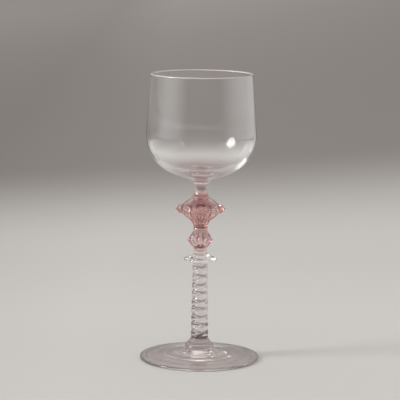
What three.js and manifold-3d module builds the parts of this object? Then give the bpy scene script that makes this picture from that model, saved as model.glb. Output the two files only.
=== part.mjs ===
// A hand-blown drinking goblet: a thin bowl on a waisted spool, two pink blown knops with raspberry
// prunts, a solid twisted column and a spreading foot. Millimetres, +Z up, with the origin in the
// middle of the foot on the table. Each gather of glass is a closed solid that seats flat on the next.

import * as THREE from 'three';
import { mergeVertices } from 'three/addons/utils/BufferGeometryUtils.js';
import Module from 'manifold-3d';

// Foot: a sloping disc that stands on a narrow ring, hollow underneath.
const FOOT_DIAMETER = 75;
const FOOT_HEIGHT = 6.5;
const FOOT_EDGE_THICKNESS = 1.6;
const FOOT_CENTRE_THICKNESS = 2.9;
const FOOT_REST_INSET = 0.8;
const FOOT_REST_WIDTH = 2.6;
const PONTIL_DIAMETER = 8;
const PONTIL_DEPTH = 0.5;

// Wafer and collar between the foot and the column.
const FOOT_RING_DIAMETER = 18.6;
const FOOT_RING_SEAT_DIAMETER = 16.6;
const FOOT_RING_HEIGHT = 3.1;
const STEM_CONE_HEIGHT = 3.6;

// Column: solid, creased lengthwise and then twisted, so that two narrow grooves climb round it. They
// don't face each other exactly. The column is drawn out more near the top.
const STEM_HEIGHT = 47.3;
const STEM_BOTTOM_DIAMETER = 11;
const STEM_TOP_DIAMETER = 9.4;
const GROOVE_ANGLES = [0, 162];
const GROOVE_HALF_WIDTH_ANGLE = 27;
const GROOVE_DEPTH = 0.6;
const GROOVE_SPACING = 4.97;
const GROOVE_SPACING_TOP = 6.4;
const GROOVE_FADE = 2.2;

// Wide disc on the column, and the small ring with its neck above.
const MERESE_DIAMETER = 20.8;
const MERESE_EDGE_THICKNESS = 2;
const MERESE_EDGE_HEIGHT = 2.8;
const MERESE_TOP_DIAMETER = 9;
const MERESE_HEIGHT = 6.1;
const MERESE_RING_DIAMETER = 9.5;
const MERESE_RING_HEIGHT = 1.9;
const MERESE_NECK_DIAMETER = 7.9;
const MERESE_NECK_HEIGHT = 1.5;

// Lower knop: hollow, with points pinched out all round its widest place.
const LOWER_KNOP_HEIGHT = 11;
const LOWER_KNOP_DIAMETER = 14.6;
const LOWER_KNOP_EQUATOR_HEIGHT = 5.5;
const LOWER_KNOP_TOP_DIAMETER = 9.2;
const LOWER_KNOP_WALL = 1.3;
const LOWER_KNOP_POINTS = 6;
const LOWER_KNOP_POINT_LENGTH = 1;
const LOWER_KNOP_POINT_THICKNESS = 1.8;
const LOWER_KNOP_RIB_DEPTH = 0.55;

// Wafer between the knops.
const WAIST_RING_HEIGHT = 2.4;
const WAIST_RING_DIAMETER = 9.4;

// Upper knop: a hollow ribbed funnel that opens into a girdle and closes in a domed shoulder.
const UPPER_KNOP_HEIGHT = 19;
const UPPER_KNOP_DIAMETER = 24.8;
const UPPER_KNOP_GIRDLE_HEIGHT = 11.8;
const UPPER_KNOP_BOTTOM_DIAMETER = 8.5;
const UPPER_KNOP_NECK_DIAMETER = 10.6;
const UPPER_KNOP_WALL = 1.4;
const UPPER_KNOP_FLOOR = 1.6;
const UPPER_KNOP_RIBS = 16;
const UPPER_KNOP_RIB_DEPTH = 0.85;

// Raspberry prunts on the girdle: drops of glass stamped with a round of beads.
const PRUNT_COUNT = 8;
const PRUNT_DIAMETER = 6.2;
const PRUNT_LENGTH = 3.2;
const PRUNT_BEADS = 8;
const PRUNT_BEAD_DEPTH = 0.35;
const PRUNT_GAP = 0.3;

// Collar on the knop, waisted spool, and the wafer under the bowl.
const NECK_RING_HEIGHT = 3.2;
const NECK_RING_TOP_DIAMETER = 7.8;
const SPOOL_HEIGHT = 6.9;
const SPOOL_WAIST_DIAMETER = 7.4;
const SPOOL_TOP_DIAMETER = 10.6;
const BOWL_MERESE_HEIGHT = 2.4;

// Bowl: shallow rounded floor, a belly above it, and walls that draw in slightly to the rim.
const BOWL_HEIGHT = 65.1;
const BOWL_SEAT_DIAMETER = 17.2;
const BOWL_BELLY_DIAMETER = 68.8;
const BOWL_BELLY_HEIGHT = 28.4;
const BOWL_RIM_DIAMETER = 63.9;
const BOWL_FLOOR_THICKNESS = 4.6;
const BOWL_RIM_THICKNESS = 1.2;
const BOWL_THINNING = 6;

const GLASS = { color: 0xe6dedd, roughness: 0.04, metalness: 0 };
const PINK_GLASS = { color: 0xc08d86, roughness: 0.04, metalness: 0 };

const wasm = await Module();
wasm.setup();

// Each piece stands on the one below it.
const footRingZ = FOOT_HEIGHT;
const stemConeZ = footRingZ + FOOT_RING_HEIGHT;
const stemZ = stemConeZ + STEM_CONE_HEIGHT;
const mereseZ = stemZ + STEM_HEIGHT;
const mereseRingZ = mereseZ + MERESE_HEIGHT;
const lowerKnopZ = mereseRingZ + MERESE_RING_HEIGHT + MERESE_NECK_HEIGHT;
const waistRingZ = lowerKnopZ + LOWER_KNOP_HEIGHT;
const upperKnopZ = waistRingZ + WAIST_RING_HEIGHT;
const neckRingZ = upperKnopZ + UPPER_KNOP_HEIGHT;
const spoolZ = neckRingZ + NECK_RING_HEIGHT;
const bowlMereseZ = spoolZ + SPOOL_HEIGHT;
const bowlZ = bowlMereseZ + BOWL_MERESE_HEIGHT;

const goblet = new THREE.Group();

function add(name, geometry, glass, z = 0) {
  const mesh = new THREE.Mesh(geometry, new THREE.MeshStandardMaterial(glass));
  mesh.name = name;
  mesh.position.z = z;
  goblet.add(mesh);
  return mesh;
}

// Turns an outline of (radius, height) points round the Z axis. The outline runs from the axis, up
// the outside and back to the axis. ripple(point, angle) gives what is added to the radius.
function revolve(outline, sides, ripple) {
  const geometry = new THREE.LatheGeometry(outline, sides);
  geometry.rotateX(Math.PI / 2);
  const place = geometry.attributes.position;
  for (let i = 0; ripple && i < place.count; i += 1) {
    const point = outline[i % outline.length];
    const side = Math.floor(i / outline.length) % sides;
    const angle = (side / sides) * 2 * Math.PI;
    const scale = point.x > 0 ? 1 + ripple(point, angle, i % outline.length) / point.x : 1;
    place.setXY(i, place.getX(i) * scale, place.getY(i) * scale);
  }
  return geometry;
}

function point(radius, height) {
  return new THREE.Vector2(radius, height);
}

// Points along a side curve, moved out by a distance that may change from its start to its end. The
// higher the thinning, the sooner it comes near the distance at the end.
function sidePoints(curve, steps, outStart = 0, outEnd = outStart, thinning = 1) {
  const points = [];
  for (let i = 0; i <= steps; i += 1) {
    const share = i / steps;
    const out = THREE.MathUtils.lerp(outEnd, outStart, (1 - share) ** thinning);
    const along = curve.getTangent(share);
    const across = new THREE.Vector2(along.y, -along.x);
    points.push(curve.getPoint(share).addScaledVector(across, out));
  }
  return points;
}

// Outline of a tooled wafer: flat seats below and above, and a rounded edge between them.
function wafer(bottomRadius, edgeRadius, topRadius, height, steps = 4) {
  const points = [point(0, 0)];
  for (let i = 0; i <= steps; i += 1) {
    const turn = (i / steps - 0.5) * Math.PI;
    const rise = (Math.sin(turn) + 1) / 2;
    const seat = THREE.MathUtils.lerp(bottomRadius, topRadius, rise);
    points.push(point(seat + (edgeRadius - seat) * Math.cos(turn), rise * height));
  }
  points.push(point(0, height));
  return points;
}

// A solid for cutting, from a closed geometry.
function solid(geometry) {
  geometry.deleteAttribute('normal');
  geometry.deleteAttribute('uv');
  const merged = mergeVertices(geometry, 1e-4);
  return new wasm.Manifold(new wasm.Mesh({
    numProp: 3,
    vertProperties: new Float32Array(merged.attributes.position.array),
    triVerts: new Uint32Array(merged.index.array),
  }));
}

function geometryOf(body) {
  const { vertProperties, triVerts } = body.getMesh();
  const geometry = new THREE.BufferGeometry();
  geometry.setAttribute('position', new THREE.BufferAttribute(vertProperties, 3));
  geometry.setIndex(new THREE.BufferAttribute(triVerts, 1));
  return geometry;
}

function footGeometry() {
  const radius = FOOT_DIAMETER / 2;
  const seat = FOOT_RING_SEAT_DIAMETER / 2 + 1;
  const restOut = radius - FOOT_REST_INSET;
  const restIn = restOut - FOOT_REST_WIDTH;
  const pontil = PONTIL_DIAMETER / 2;
  const ceiling = FOOT_HEIGHT - FOOT_CENTRE_THICKNESS;
  const outline = new THREE.Path();
  outline.moveTo(0, ceiling - PONTIL_DEPTH);
  outline.lineTo(pontil - PONTIL_DEPTH, ceiling - PONTIL_DEPTH);
  outline.lineTo(pontil, ceiling);
  outline.lineTo(restIn - FOOT_REST_INSET, FOOT_EDGE_THICKNESS / 4);
  outline.lineTo(restIn, 0);
  outline.lineTo(restOut, 0);
  outline.quadraticCurveTo(radius, 0, radius, FOOT_EDGE_THICKNESS / 2);
  outline.quadraticCurveTo(radius, FOOT_EDGE_THICKNESS, restOut, FOOT_EDGE_THICKNESS);
  outline.quadraticCurveTo(radius / 2, FOOT_HEIGHT / 2, seat, FOOT_HEIGHT);
  outline.lineTo(0, FOOT_HEIGHT);
  return revolve(outline.getPoints(4), 44);
}

function stemConeGeometry() {
  const outline = new THREE.Path();
  const bottom = FOOT_RING_SEAT_DIAMETER / 2;
  const top = STEM_BOTTOM_DIAMETER / 2;
  outline.moveTo(0, 0);
  outline.lineTo(bottom, 0);
  outline.quadraticCurveTo(top + 0.9, STEM_CONE_HEIGHT / 2, top, STEM_CONE_HEIGHT);
  outline.lineTo(0, STEM_CONE_HEIGHT);
  return revolve(outline.getPoints(5), 32);
}

// How deep the creases are at an angle round the column, before it is twisted.
function grooveDepth(angle) {
  const { degToRad, euclideanModulo } = THREE.MathUtils;
  let depth = 0;
  for (const groove of GROOVE_ANGLES) {
    const round = euclideanModulo(angle - degToRad(groove) + Math.PI, 2 * Math.PI) - Math.PI;
    depth += GROOVE_DEPTH * Math.exp(-((round / degToRad(GROOVE_HALF_WIDTH_ANGLE)) ** 2));
  }
  return depth;
}

// The column's rings of points turn as they rise, so that the edges run along the grooves.
function twistedStemGeometry() {
  const sides = 24;
  const rings = 52;
  const outline = [point(0, 0)];
  const turns = [0];
  for (let i = 0; i <= rings; i += 1) {
    const share = i / rings;
    const radius = THREE.MathUtils.lerp(STEM_BOTTOM_DIAMETER, STEM_TOP_DIAMETER, share) / 2;
    outline.push(point(radius, share * STEM_HEIGHT));
    const spacing = THREE.MathUtils.lerp(GROOVE_SPACING, GROOVE_SPACING_TOP, share ** 4);
    const lead = spacing * GROOVE_ANGLES.length;
    turns.push(turns[i] + (i === 0 ? 0 : (2 * Math.PI * STEM_HEIGHT) / (rings * lead)));
  }
  outline.push(point(0, STEM_HEIGHT));
  turns.push(0);
  const geometry = revolve(outline, sides, ({ y: z }, angle) => {
    const fade = Math.min(1, z / GROOVE_FADE, (STEM_HEIGHT - z) / GROOVE_FADE);
    return -fade * grooveDepth(angle);
  });
  const place = geometry.attributes.position;
  const axis = new THREE.Vector3(0, 0, 1);
  const corner = new THREE.Vector3();
  for (let i = 0; i < place.count; i += 1) {
    corner.fromBufferAttribute(place, i).applyAxisAngle(axis, turns[i % outline.length]);
    place.setXYZ(i, corner.x, corner.y, corner.z);
  }
  return geometry;
}

function stemMereseGeometry() {
  const edge = MERESE_DIAMETER / 2;
  const half = MERESE_EDGE_THICKNESS / 2;
  const bottom = STEM_TOP_DIAMETER / 2;
  const top = MERESE_TOP_DIAMETER / 2;
  const low = MERESE_EDGE_HEIGHT - half;
  const outline = new THREE.Path();
  outline.moveTo(0, 0);
  outline.lineTo(bottom, 0);
  outline.quadraticCurveTo(bottom + half, low / 2, edge - half, low);
  outline.absarc(edge - half, MERESE_EDGE_HEIGHT, half, -Math.PI / 2, Math.PI / 2);
  outline.quadraticCurveTo((edge + top) / 2, low + MERESE_EDGE_THICKNESS + 0.6, top, MERESE_HEIGHT);
  outline.lineTo(0, MERESE_HEIGHT);
  return revolve(outline.getPoints(2), 40);
}

function mereseRingGeometry() {
  const neck = MERESE_NECK_DIAMETER / 2;
  const outline = wafer(MERESE_TOP_DIAMETER / 2, MERESE_RING_DIAMETER / 2, neck, MERESE_RING_HEIGHT);
  outline.pop();
  const height = MERESE_RING_HEIGHT + MERESE_NECK_HEIGHT;
  outline.push(point(neck, height), point(0, height));
  return revolve(outline, 24);
}

// Side curve of the lower knop, from its seat to its open top.
function lowerKnopSide() {
  const seat = MERESE_NECK_DIAMETER / 2;
  const wide = LOWER_KNOP_DIAMETER / 2;
  const top = LOWER_KNOP_TOP_DIAMETER / 2;
  const equator = LOWER_KNOP_EQUATOR_HEIGHT;
  const side = new THREE.Path();
  side.moveTo(seat, 0);
  side.bezierCurveTo(seat + 0.6, 1.2, wide, equator - 2.1, wide, equator);
  side.bezierCurveTo(wide, equator + 2, top + 0.5, LOWER_KNOP_HEIGHT - 1, top, LOWER_KNOP_HEIGHT);
  return side;
}

function lowerKnopGeometry() {
  const side = lowerKnopSide();
  const wall = LOWER_KNOP_WALL;
  const outer = sidePoints(side, 10);
  const inner = sidePoints(side, 6, -wall).filter(({ y }) => y > wall && y < LOWER_KNOP_HEIGHT);
  const bore = LOWER_KNOP_TOP_DIAMETER / 2 - wall;
  const outline = [
    point(0, 0), ...outer, point(bore, LOWER_KNOP_HEIGHT), ...inner.reverse(), point(0, wall),
  ];
  return revolve(outline, 36, ({ y: z }, angle, step) => {
    if (step > outer.length) return 0;
    const away = (z - LOWER_KNOP_EQUATOR_HEIGHT) / (LOWER_KNOP_POINT_THICKNESS / 2);
    const wave = Math.cos(LOWER_KNOP_POINTS * angle);
    const pinch = Math.max(0, wave) ** 2 * Math.exp(-away * away);
    const rib = (1 - Math.abs(wave)) * Math.sin((z / LOWER_KNOP_HEIGHT) * Math.PI);
    return LOWER_KNOP_POINT_LENGTH * pinch - LOWER_KNOP_RIB_DEPTH * rib;
  });
}

// Side curve of the upper knop, from its seat up to its neck.
function upperKnopSide() {
  const seat = UPPER_KNOP_BOTTOM_DIAMETER / 2;
  const wide = UPPER_KNOP_DIAMETER / 2;
  const neck = UPPER_KNOP_NECK_DIAMETER / 2;
  const girdle = UPPER_KNOP_GIRDLE_HEIGHT;
  const side = new THREE.Path();
  side.moveTo(seat, 0);
  side.bezierCurveTo(seat + 0.6, girdle * 0.55, wide, girdle * 0.55, wide, girdle);
  side.bezierCurveTo(wide, girdle + 2.8, neck + 3, UPPER_KNOP_HEIGHT - 1.4, neck, UPPER_KNOP_HEIGHT);
  return side;
}

function upperKnopGeometry() {
  const side = upperKnopSide();
  const wall = UPPER_KNOP_WALL;
  const outer = sidePoints(side, 10);
  const bore = UPPER_KNOP_NECK_DIAMETER / 2 - wall;
  const inner = sidePoints(side, 8, -wall)
    .filter(({ x, y }) => y > UPPER_KNOP_FLOOR && y < UPPER_KNOP_HEIGHT - wall / 2 && x > 0.5);
  const outline = [
    point(0, 0), ...outer, point(bore, UPPER_KNOP_HEIGHT), ...inner.reverse(),
    point(0, UPPER_KNOP_FLOOR),
  ];
  return revolve(outline, 64, ({ y: z }, angle, step) => {
    if (step > outer.length || z > UPPER_KNOP_GIRDLE_HEIGHT) return 0;
    const swell = Math.sin((z / UPPER_KNOP_GIRDLE_HEIGHT) * Math.PI);
    return -UPPER_KNOP_RIB_DEPTH * swell * (1 - Math.abs(Math.cos((UPPER_KNOP_RIBS * angle) / 2)));
  });
}

// A prunt points outwards along +X from the middle of the knop, and is cut where it meets the knop.
function pruntGeometry() {
  const wide = PRUNT_DIAMETER / 2;
  const girdle = UPPER_KNOP_DIAMETER / 2;
  const outline = new THREE.Path();
  outline.moveTo(0, -2);
  outline.lineTo(wide, -2);
  outline.lineTo(wide, 0.2);
  outline.bezierCurveTo(wide, 1, wide * 0.3, PRUNT_LENGTH, 0, PRUNT_LENGTH);
  const drop = revolve(outline.getPoints(3), 16, ({ x, y }, angle) => {
    if (x === 0 || y <= 0.2) return 0;
    return -PRUNT_BEAD_DEPTH * (0.5 - 0.5 * Math.cos(PRUNT_BEADS * angle));
  });
  drop.rotateY(Math.PI / 2);
  drop.translate(girdle, 0, UPPER_KNOP_GIRDLE_HEIGHT);
  const seat = [
    point(0, -PRUNT_GAP), ...sidePoints(upperKnopSide(), 16, PRUNT_GAP),
    point(0, UPPER_KNOP_HEIGHT + PRUNT_GAP),
  ];
  return geometryOf(solid(drop).subtract(solid(revolve(seat, 64))));
}

function neckRingGeometry() {
  const bottom = UPPER_KNOP_NECK_DIAMETER / 2;
  const top = NECK_RING_TOP_DIAMETER / 2;
  const outline = new THREE.Path();
  outline.moveTo(0, 0);
  outline.lineTo(bottom, 0);
  outline.quadraticCurveTo(bottom + 0.3, 0.5, bottom - 0.2, 1);
  outline.quadraticCurveTo(top + 0.2, NECK_RING_HEIGHT - 1, top, NECK_RING_HEIGHT);
  outline.lineTo(0, NECK_RING_HEIGHT);
  return revolve(outline.getPoints(3), 28);
}

function neckSpoolGeometry() {
  const bottom = NECK_RING_TOP_DIAMETER / 2;
  const waist = SPOOL_WAIST_DIAMETER / 2;
  const top = SPOOL_TOP_DIAMETER / 2;
  const outline = new THREE.Path();
  outline.moveTo(0, 0);
  outline.lineTo(bottom, 0);
  outline.bezierCurveTo(waist, SPOOL_HEIGHT * 0.3, waist, SPOOL_HEIGHT * 0.6, top, SPOOL_HEIGHT);
  outline.lineTo(0, SPOOL_HEIGHT);
  return revolve(outline.getPoints(6), 28);
}

function bowlMereseGeometry() {
  const bottom = SPOOL_TOP_DIAMETER / 2;
  const top = BOWL_SEAT_DIAMETER / 2;
  const outline = new THREE.Path();
  outline.moveTo(0, 0);
  outline.lineTo(bottom, 0);
  outline.quadraticCurveTo(bottom + 1, BOWL_MERESE_HEIGHT * 0.6, top, BOWL_MERESE_HEIGHT);
  outline.lineTo(0, BOWL_MERESE_HEIGHT);
  return revolve(outline.getPoints(4), 32);
}

// Side curve of the bowl's outside, from its seat to its rim.
function bowlSide() {
  const seat = BOWL_SEAT_DIAMETER / 2;
  const belly = BOWL_BELLY_DIAMETER / 2;
  const rim = BOWL_RIM_DIAMETER / 2;
  const side = new THREE.Path();
  side.moveTo(seat, 0);
  side.bezierCurveTo(seat + 17.4, 3.8, belly, BOWL_BELLY_HEIGHT - 15.4, belly, BOWL_BELLY_HEIGHT);
  side.bezierCurveTo(belly, BOWL_BELLY_HEIGHT + 10, rim + 1.05, BOWL_HEIGHT - 14, rim, BOWL_HEIGHT);
  return side;
}

function bowlGeometry() {
  const side = bowlSide();
  const outer = sidePoints(side, 12);
  const inner = sidePoints(side, 10, -BOWL_FLOOR_THICKNESS, -BOWL_RIM_THICKNESS, BOWL_THINNING);
  const outline = [point(0, 0), ...outer, ...inner.reverse(), point(0, BOWL_FLOOR_THICKNESS)];
  return revolve(outline, 48);
}

add('foot', footGeometry(), GLASS);
add('foot_ring', revolve(wafer(
  FOOT_RING_SEAT_DIAMETER / 2, FOOT_RING_DIAMETER / 2, FOOT_RING_SEAT_DIAMETER / 2, FOOT_RING_HEIGHT,
), 32), GLASS, footRingZ);
add('stem_cone', stemConeGeometry(), GLASS, stemConeZ);
add('twisted_stem', twistedStemGeometry(), GLASS, stemZ);
add('stem_merese', stemMereseGeometry(), GLASS, mereseZ);
add('merese_ring', mereseRingGeometry(), GLASS, mereseRingZ);
add('lower_knop', lowerKnopGeometry(), PINK_GLASS, lowerKnopZ);
add('waist_ring', revolve(wafer(
  LOWER_KNOP_TOP_DIAMETER / 2, WAIST_RING_DIAMETER / 2, UPPER_KNOP_BOTTOM_DIAMETER / 2, WAIST_RING_HEIGHT,
), 24), PINK_GLASS, waistRingZ);
add('upper_knop', upperKnopGeometry(), PINK_GLASS, upperKnopZ);
for (let i = 0; i < PRUNT_COUNT; i += 1) {
  const prunt = add(`shoulder_prunt_${i + 1}`, pruntGeometry(), GLASS, upperKnopZ);
  prunt.rotation.z = (i / PRUNT_COUNT) * 2 * Math.PI;
}
add('neck_ring', neckRingGeometry(), PINK_GLASS, neckRingZ);
add('neck_spool', neckSpoolGeometry(), GLASS, spoolZ);
add('bowl_merese', bowlMereseGeometry(), GLASS, bowlMereseZ);
add('bowl', bowlGeometry(), GLASS, bowlZ);

export default goblet;
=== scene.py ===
import math

import bmesh
import bpy
from mathutils import Matrix, Vector
from mathutils.geometry import interpolate_bezier


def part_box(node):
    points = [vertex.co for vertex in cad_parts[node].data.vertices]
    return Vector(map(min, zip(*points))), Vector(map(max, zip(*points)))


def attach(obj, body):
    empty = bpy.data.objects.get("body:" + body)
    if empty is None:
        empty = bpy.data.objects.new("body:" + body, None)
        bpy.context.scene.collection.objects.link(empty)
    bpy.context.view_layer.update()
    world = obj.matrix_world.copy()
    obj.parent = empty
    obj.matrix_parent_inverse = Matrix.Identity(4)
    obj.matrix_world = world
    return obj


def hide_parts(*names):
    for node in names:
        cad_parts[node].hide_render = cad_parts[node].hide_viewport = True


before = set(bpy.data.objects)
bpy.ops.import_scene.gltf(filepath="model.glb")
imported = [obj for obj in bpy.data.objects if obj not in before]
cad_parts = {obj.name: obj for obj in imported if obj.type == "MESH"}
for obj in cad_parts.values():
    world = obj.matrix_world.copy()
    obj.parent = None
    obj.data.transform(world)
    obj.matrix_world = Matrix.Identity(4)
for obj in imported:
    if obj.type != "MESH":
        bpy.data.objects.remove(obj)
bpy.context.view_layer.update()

# Camera: it stands six goblet heights away and looks down a little, so that rim and foot show as
# flat ellipses. It is rolled by half a degree, because the goblet leans that much in the picture.
# Light crosses many walls of glass on its way to it, so it may bounce more often than usual.
CAMERA_PLACE = (-0.0005, -1.1322, 0.2751)
CAMERA_PITCH = math.radians(8.75)
CAMERA_ROLL = math.radians(0.62)
CAMERA_LENS = 164.9
CAMERA_SENSOR = 36
GLASS_BOUNCES = 32

camera_data = bpy.data.cameras.new("camera")
camera_data.lens = CAMERA_LENS
camera_data.sensor_width = CAMERA_SENSOR
camera = bpy.data.objects.new("camera", camera_data)
bpy.context.scene.collection.objects.link(camera)
camera.matrix_world = (
    Matrix.Translation(CAMERA_PLACE)
    @ Matrix.Rotation(math.pi / 2 - CAMERA_PITCH, 4, "X")
    @ Matrix.Rotation(CAMERA_ROLL, 4, "Z")
)
bpy.context.scene.camera = camera
bpy.context.scene.view_settings.view_transform = "Standard"
bpy.context.scene.cycles.max_bounces = GLASS_BOUNCES
bpy.context.scene.cycles.glossy_bounces = GLASS_BOUNCES
bpy.context.scene.cycles.transmission_bounces = GLASS_BOUNCES

# Table: pale paper that lies flat under the goblet and turns grey further back, as a sweep does
# behind a small studio set. On the left, shade is painted into it: there it turns grey a little
# sooner, and its colour is darkened a little.
# All its distances are in metres.
TABLE_SIZE = 60
PALE_PAPER = "#c7c5c2"
DULL_PAPER = "#c1bebb"
GREY_PAPER = "#898481"
FAR_PAPER = "#a39e9a"
PALE_UNTIL = 0.1
DULL_AT = 0.4
GREY_FROM = 0.98
FAR_FROM = 6
SHADE_SOONER_ON_LEFT = 0.55
SHADE_FROM = -0.08
SHADE_UNTIL = -0.25
SHADE_DEPTH = 0.14


def linear(hex_colour):
    """A written sRGB colour as the linear colour that a shader takes."""
    parts = [int(hex_colour[i:i + 2], 16) / 255 for i in (1, 3, 5)]
    return (*(c / 12.92 if c <= 0.04045 else ((c + 0.055) / 1.055) ** 2.4 for c in parts), 1)


def add_node(tree, kind, inputs=None, links=None, **settings):
    """Adds a node with its settings, its input values and the sockets that feed it."""
    node = tree.nodes.new(kind)
    for name, value in settings.items():
        setattr(node, name, value)
    for name, value in (inputs or {}).items():
        node.inputs[name].default_value = value
    for name, socket in (links or {}).items():
        tree.links.new(socket, node.inputs[name])
    return node


# Uncoated paper is quite matt: it takes light and shade softly and mirrors nothing. Its fibres are
# far too fine to show, so only its tone changes over the set.
paper = bpy.data.materials.new("paper")
paper.use_nodes = True
tree = paper.node_tree
place = add_node(tree, "ShaderNodeTexCoord")
parts = add_node(tree, "ShaderNodeSeparateXYZ", links={0: place.outputs["Object"]})
# Painted shade: on the left the paper turns grey sooner.
sooner = add_node(
    tree, "ShaderNodeMath", {1: -SHADE_SOONER_ON_LEFT, 2: 1}, {0: parts.outputs["X"]},
    operation="MULTIPLY_ADD",
)
back = add_node(
    tree, "ShaderNodeMath", links={0: parts.outputs["Y"], 1: sooner.outputs["Value"]},
    operation="MULTIPLY",
)
share = add_node(
    tree, "ShaderNodeMath", {1: FAR_FROM}, {0: back.outputs["Value"]}, operation="DIVIDE",
)
tone = add_node(tree, "ShaderNodeValToRGB", links={"Fac": share.outputs["Value"]})
tone.color_ramp.interpolation = "EASE"
tone.color_ramp.elements[0].position = PALE_UNTIL / FAR_FROM
tone.color_ramp.elements[0].color = linear(PALE_PAPER)
tone.color_ramp.elements[1].color = linear(FAR_PAPER)
tone.color_ramp.elements.new(DULL_AT / FAR_FROM).color = linear(DULL_PAPER)
tone.color_ramp.elements.new(GREY_FROM / FAR_FROM).color = linear(GREY_PAPER)
# Painted shade: the paper's colour is darkened towards the left.
dimmed = add_node(
    tree, "ShaderNodeMapRange",
    {"From Min": SHADE_FROM, "From Max": SHADE_UNTIL, "To Max": SHADE_DEPTH},
    {"Value": parts.outputs["X"]},
)
shaded = add_node(
    tree, "ShaderNodeMix", {7: (0, 0, 0, 1)},
    {0: dimmed.outputs["Result"], 6: tone.outputs["Color"]}, data_type="RGBA",
)
shader = tree.nodes["Principled BSDF"]
shader.inputs["Roughness"].default_value = 1
shader.inputs["Specular IOR Level"].default_value = 0
tree.links.new(shaded.outputs[2], shader.inputs["Base Color"])

table_mesh = bpy.data.meshes.new("table")
bm = bmesh.new()
bmesh.ops.create_grid(bm, x_segments=1, y_segments=1, size=TABLE_SIZE / 2)
bm.to_mesh(table_mesh)
bm.free()
table_mesh.materials.append(paper)
table = bpy.data.objects.new("table", table_mesh)
bpy.context.scene.collection.objects.link(table)

# Sky: the inside of a soft box, white overhead and pale on both sides. The wall behind the goblet is
# grey, and the room behind the camera is dark, which gives the glass its dark lines. The limits say
# how steeply a direction rises, and how far it turns to a side or to the front, from 0 to 1.
WALL_GREY = "#94908c"
ROOM_DARK = "#2c2a29"
OVERHEAD_WHITE = "#fffefc"
WHITENS_FROM = 0.02
WHITE_FROM = 0.8
SIDE_FROM = 0.5
SIDE_SHARE = 0.35
DARKENS_FROM = 0.1
DARK_FROM = 0.6
SKY_STRENGTH = 0.97

world = bpy.data.worlds.new("soft_box")
world.use_nodes = True
bpy.context.scene.world = world
tree = world.node_tree
direction = add_node(tree, "ShaderNodeTexCoord")
parts = add_node(tree, "ShaderNodeSeparateXYZ", links={0: direction.outputs["Generated"]})
rise = add_node(
    tree, "ShaderNodeMapRange", {"From Min": WHITENS_FROM, "From Max": WHITE_FROM},
    {"Value": parts.outputs["Z"]}, interpolation_type="SMOOTHSTEP",
)
aside = add_node(tree, "ShaderNodeMath", links={0: parts.outputs["X"]}, operation="ABSOLUTE")
flank = add_node(
    tree, "ShaderNodeMapRange", {"From Min": SIDE_FROM, "From Max": 1, "To Max": SIDE_SHARE},
    {"Value": aside.outputs["Value"]}, interpolation_type="SMOOTHSTEP",
)
white = add_node(
    tree, "ShaderNodeMath", links={0: rise.outputs["Result"], 1: flank.outputs["Result"]},
    operation="MAXIMUM",
)
front = add_node(
    tree, "ShaderNodeMapRange", {"From Min": -DARKENS_FROM, "From Max": -DARK_FROM},
    {"Value": parts.outputs["Y"]},
)
wall = add_node(
    tree, "ShaderNodeMix", {6: linear(WALL_GREY), 7: linear(ROOM_DARK)},
    {0: front.outputs["Result"]}, data_type="RGBA",
)
sky = add_node(
    tree, "ShaderNodeMix", {7: linear(OVERHEAD_WHITE)},
    {0: white.outputs["Value"], 6: wall.outputs[2]}, data_type="RGBA",
)
background = tree.nodes["Background"]
background.inputs["Strength"].default_value = SKY_STRENGTH
tree.links.new(sky.outputs[2], background.inputs["Color"])

# Lamps: a round soft lamp on the left, which draws the thin shadow of the column to the right and its
# own highlight in the bowl. A screen that stands on each side and a card that lies on the table on
# each side are seen by reflection only, and give the glass its wide pale bands.
LAMP_STRENGTH = 36
LEFT_SCREEN_STRENGTH = 2.4
RIGHT_SCREEN_STRENGTH = 2
CARD_STRENGTH = 1.8
ALL_ROUND = (1, 1, 0)
SIDEWAYS = (1, 0, 0)


def lit_cloth(name, place, aim, width, height, strength, core, fade_across, lights_table):
    """Lamp cloth that faces aim, from place, in metres. It is even within core, a share of its half
    width, and fades out towards its edge along the directions that fade_across leaves in."""
    # Cloth lit from behind has no surface to be seen, only light that grows weaker at its edge.
    material = bpy.data.materials.new("lit_cloth_of_" + name)
    material.use_nodes = True
    tree = material.node_tree
    tree.nodes.remove(tree.nodes["Principled BSDF"])
    spot = add_node(tree, "ShaderNodeTexCoord")
    across = add_node(
        tree, "ShaderNodeVectorMath", {1: fade_across}, {0: spot.outputs["Object"]},
        operation="MULTIPLY",
    )
    out = add_node(
        tree, "ShaderNodeVectorMath", links={0: across.outputs["Vector"]}, operation="LENGTH",
    )
    glow = add_node(
        tree, "ShaderNodeMapRange", {"From Min": 1, "From Max": core},
        {"Value": out.outputs["Value"]}, interpolation_type="SMOOTHSTEP",
    )
    clear = add_node(tree, "ShaderNodeBsdfTransparent")
    lit = add_node(tree, "ShaderNodeEmission", {"Strength": strength})
    cloth = add_node(
        tree, "ShaderNodeMixShader",
        links={0: glow.outputs["Result"], 1: clear.outputs["BSDF"], 2: lit.outputs["Emission"]},
    )
    tree.links.new(cloth.outputs["Shader"], tree.nodes["Material Output"].inputs["Surface"])
    mesh = bpy.data.meshes.new(name)
    bm = bmesh.new()
    bmesh.ops.create_grid(bm, x_segments=1, y_segments=1, size=1)
    bm.to_mesh(mesh)
    bm.free()
    mesh.materials.append(material)
    screen = bpy.data.objects.new(name, mesh)
    bpy.context.scene.collection.objects.link(screen)
    screen.location = place
    screen.rotation_euler = (Vector(aim) - Vector(place)).to_track_quat("-Z", "Y").to_euler()
    screen.scale = (width / 2, height / 2, 1)
    screen.visible_camera = False
    screen.visible_diffuse = screen.visible_transmission = screen.visible_shadow = lights_table


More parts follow.
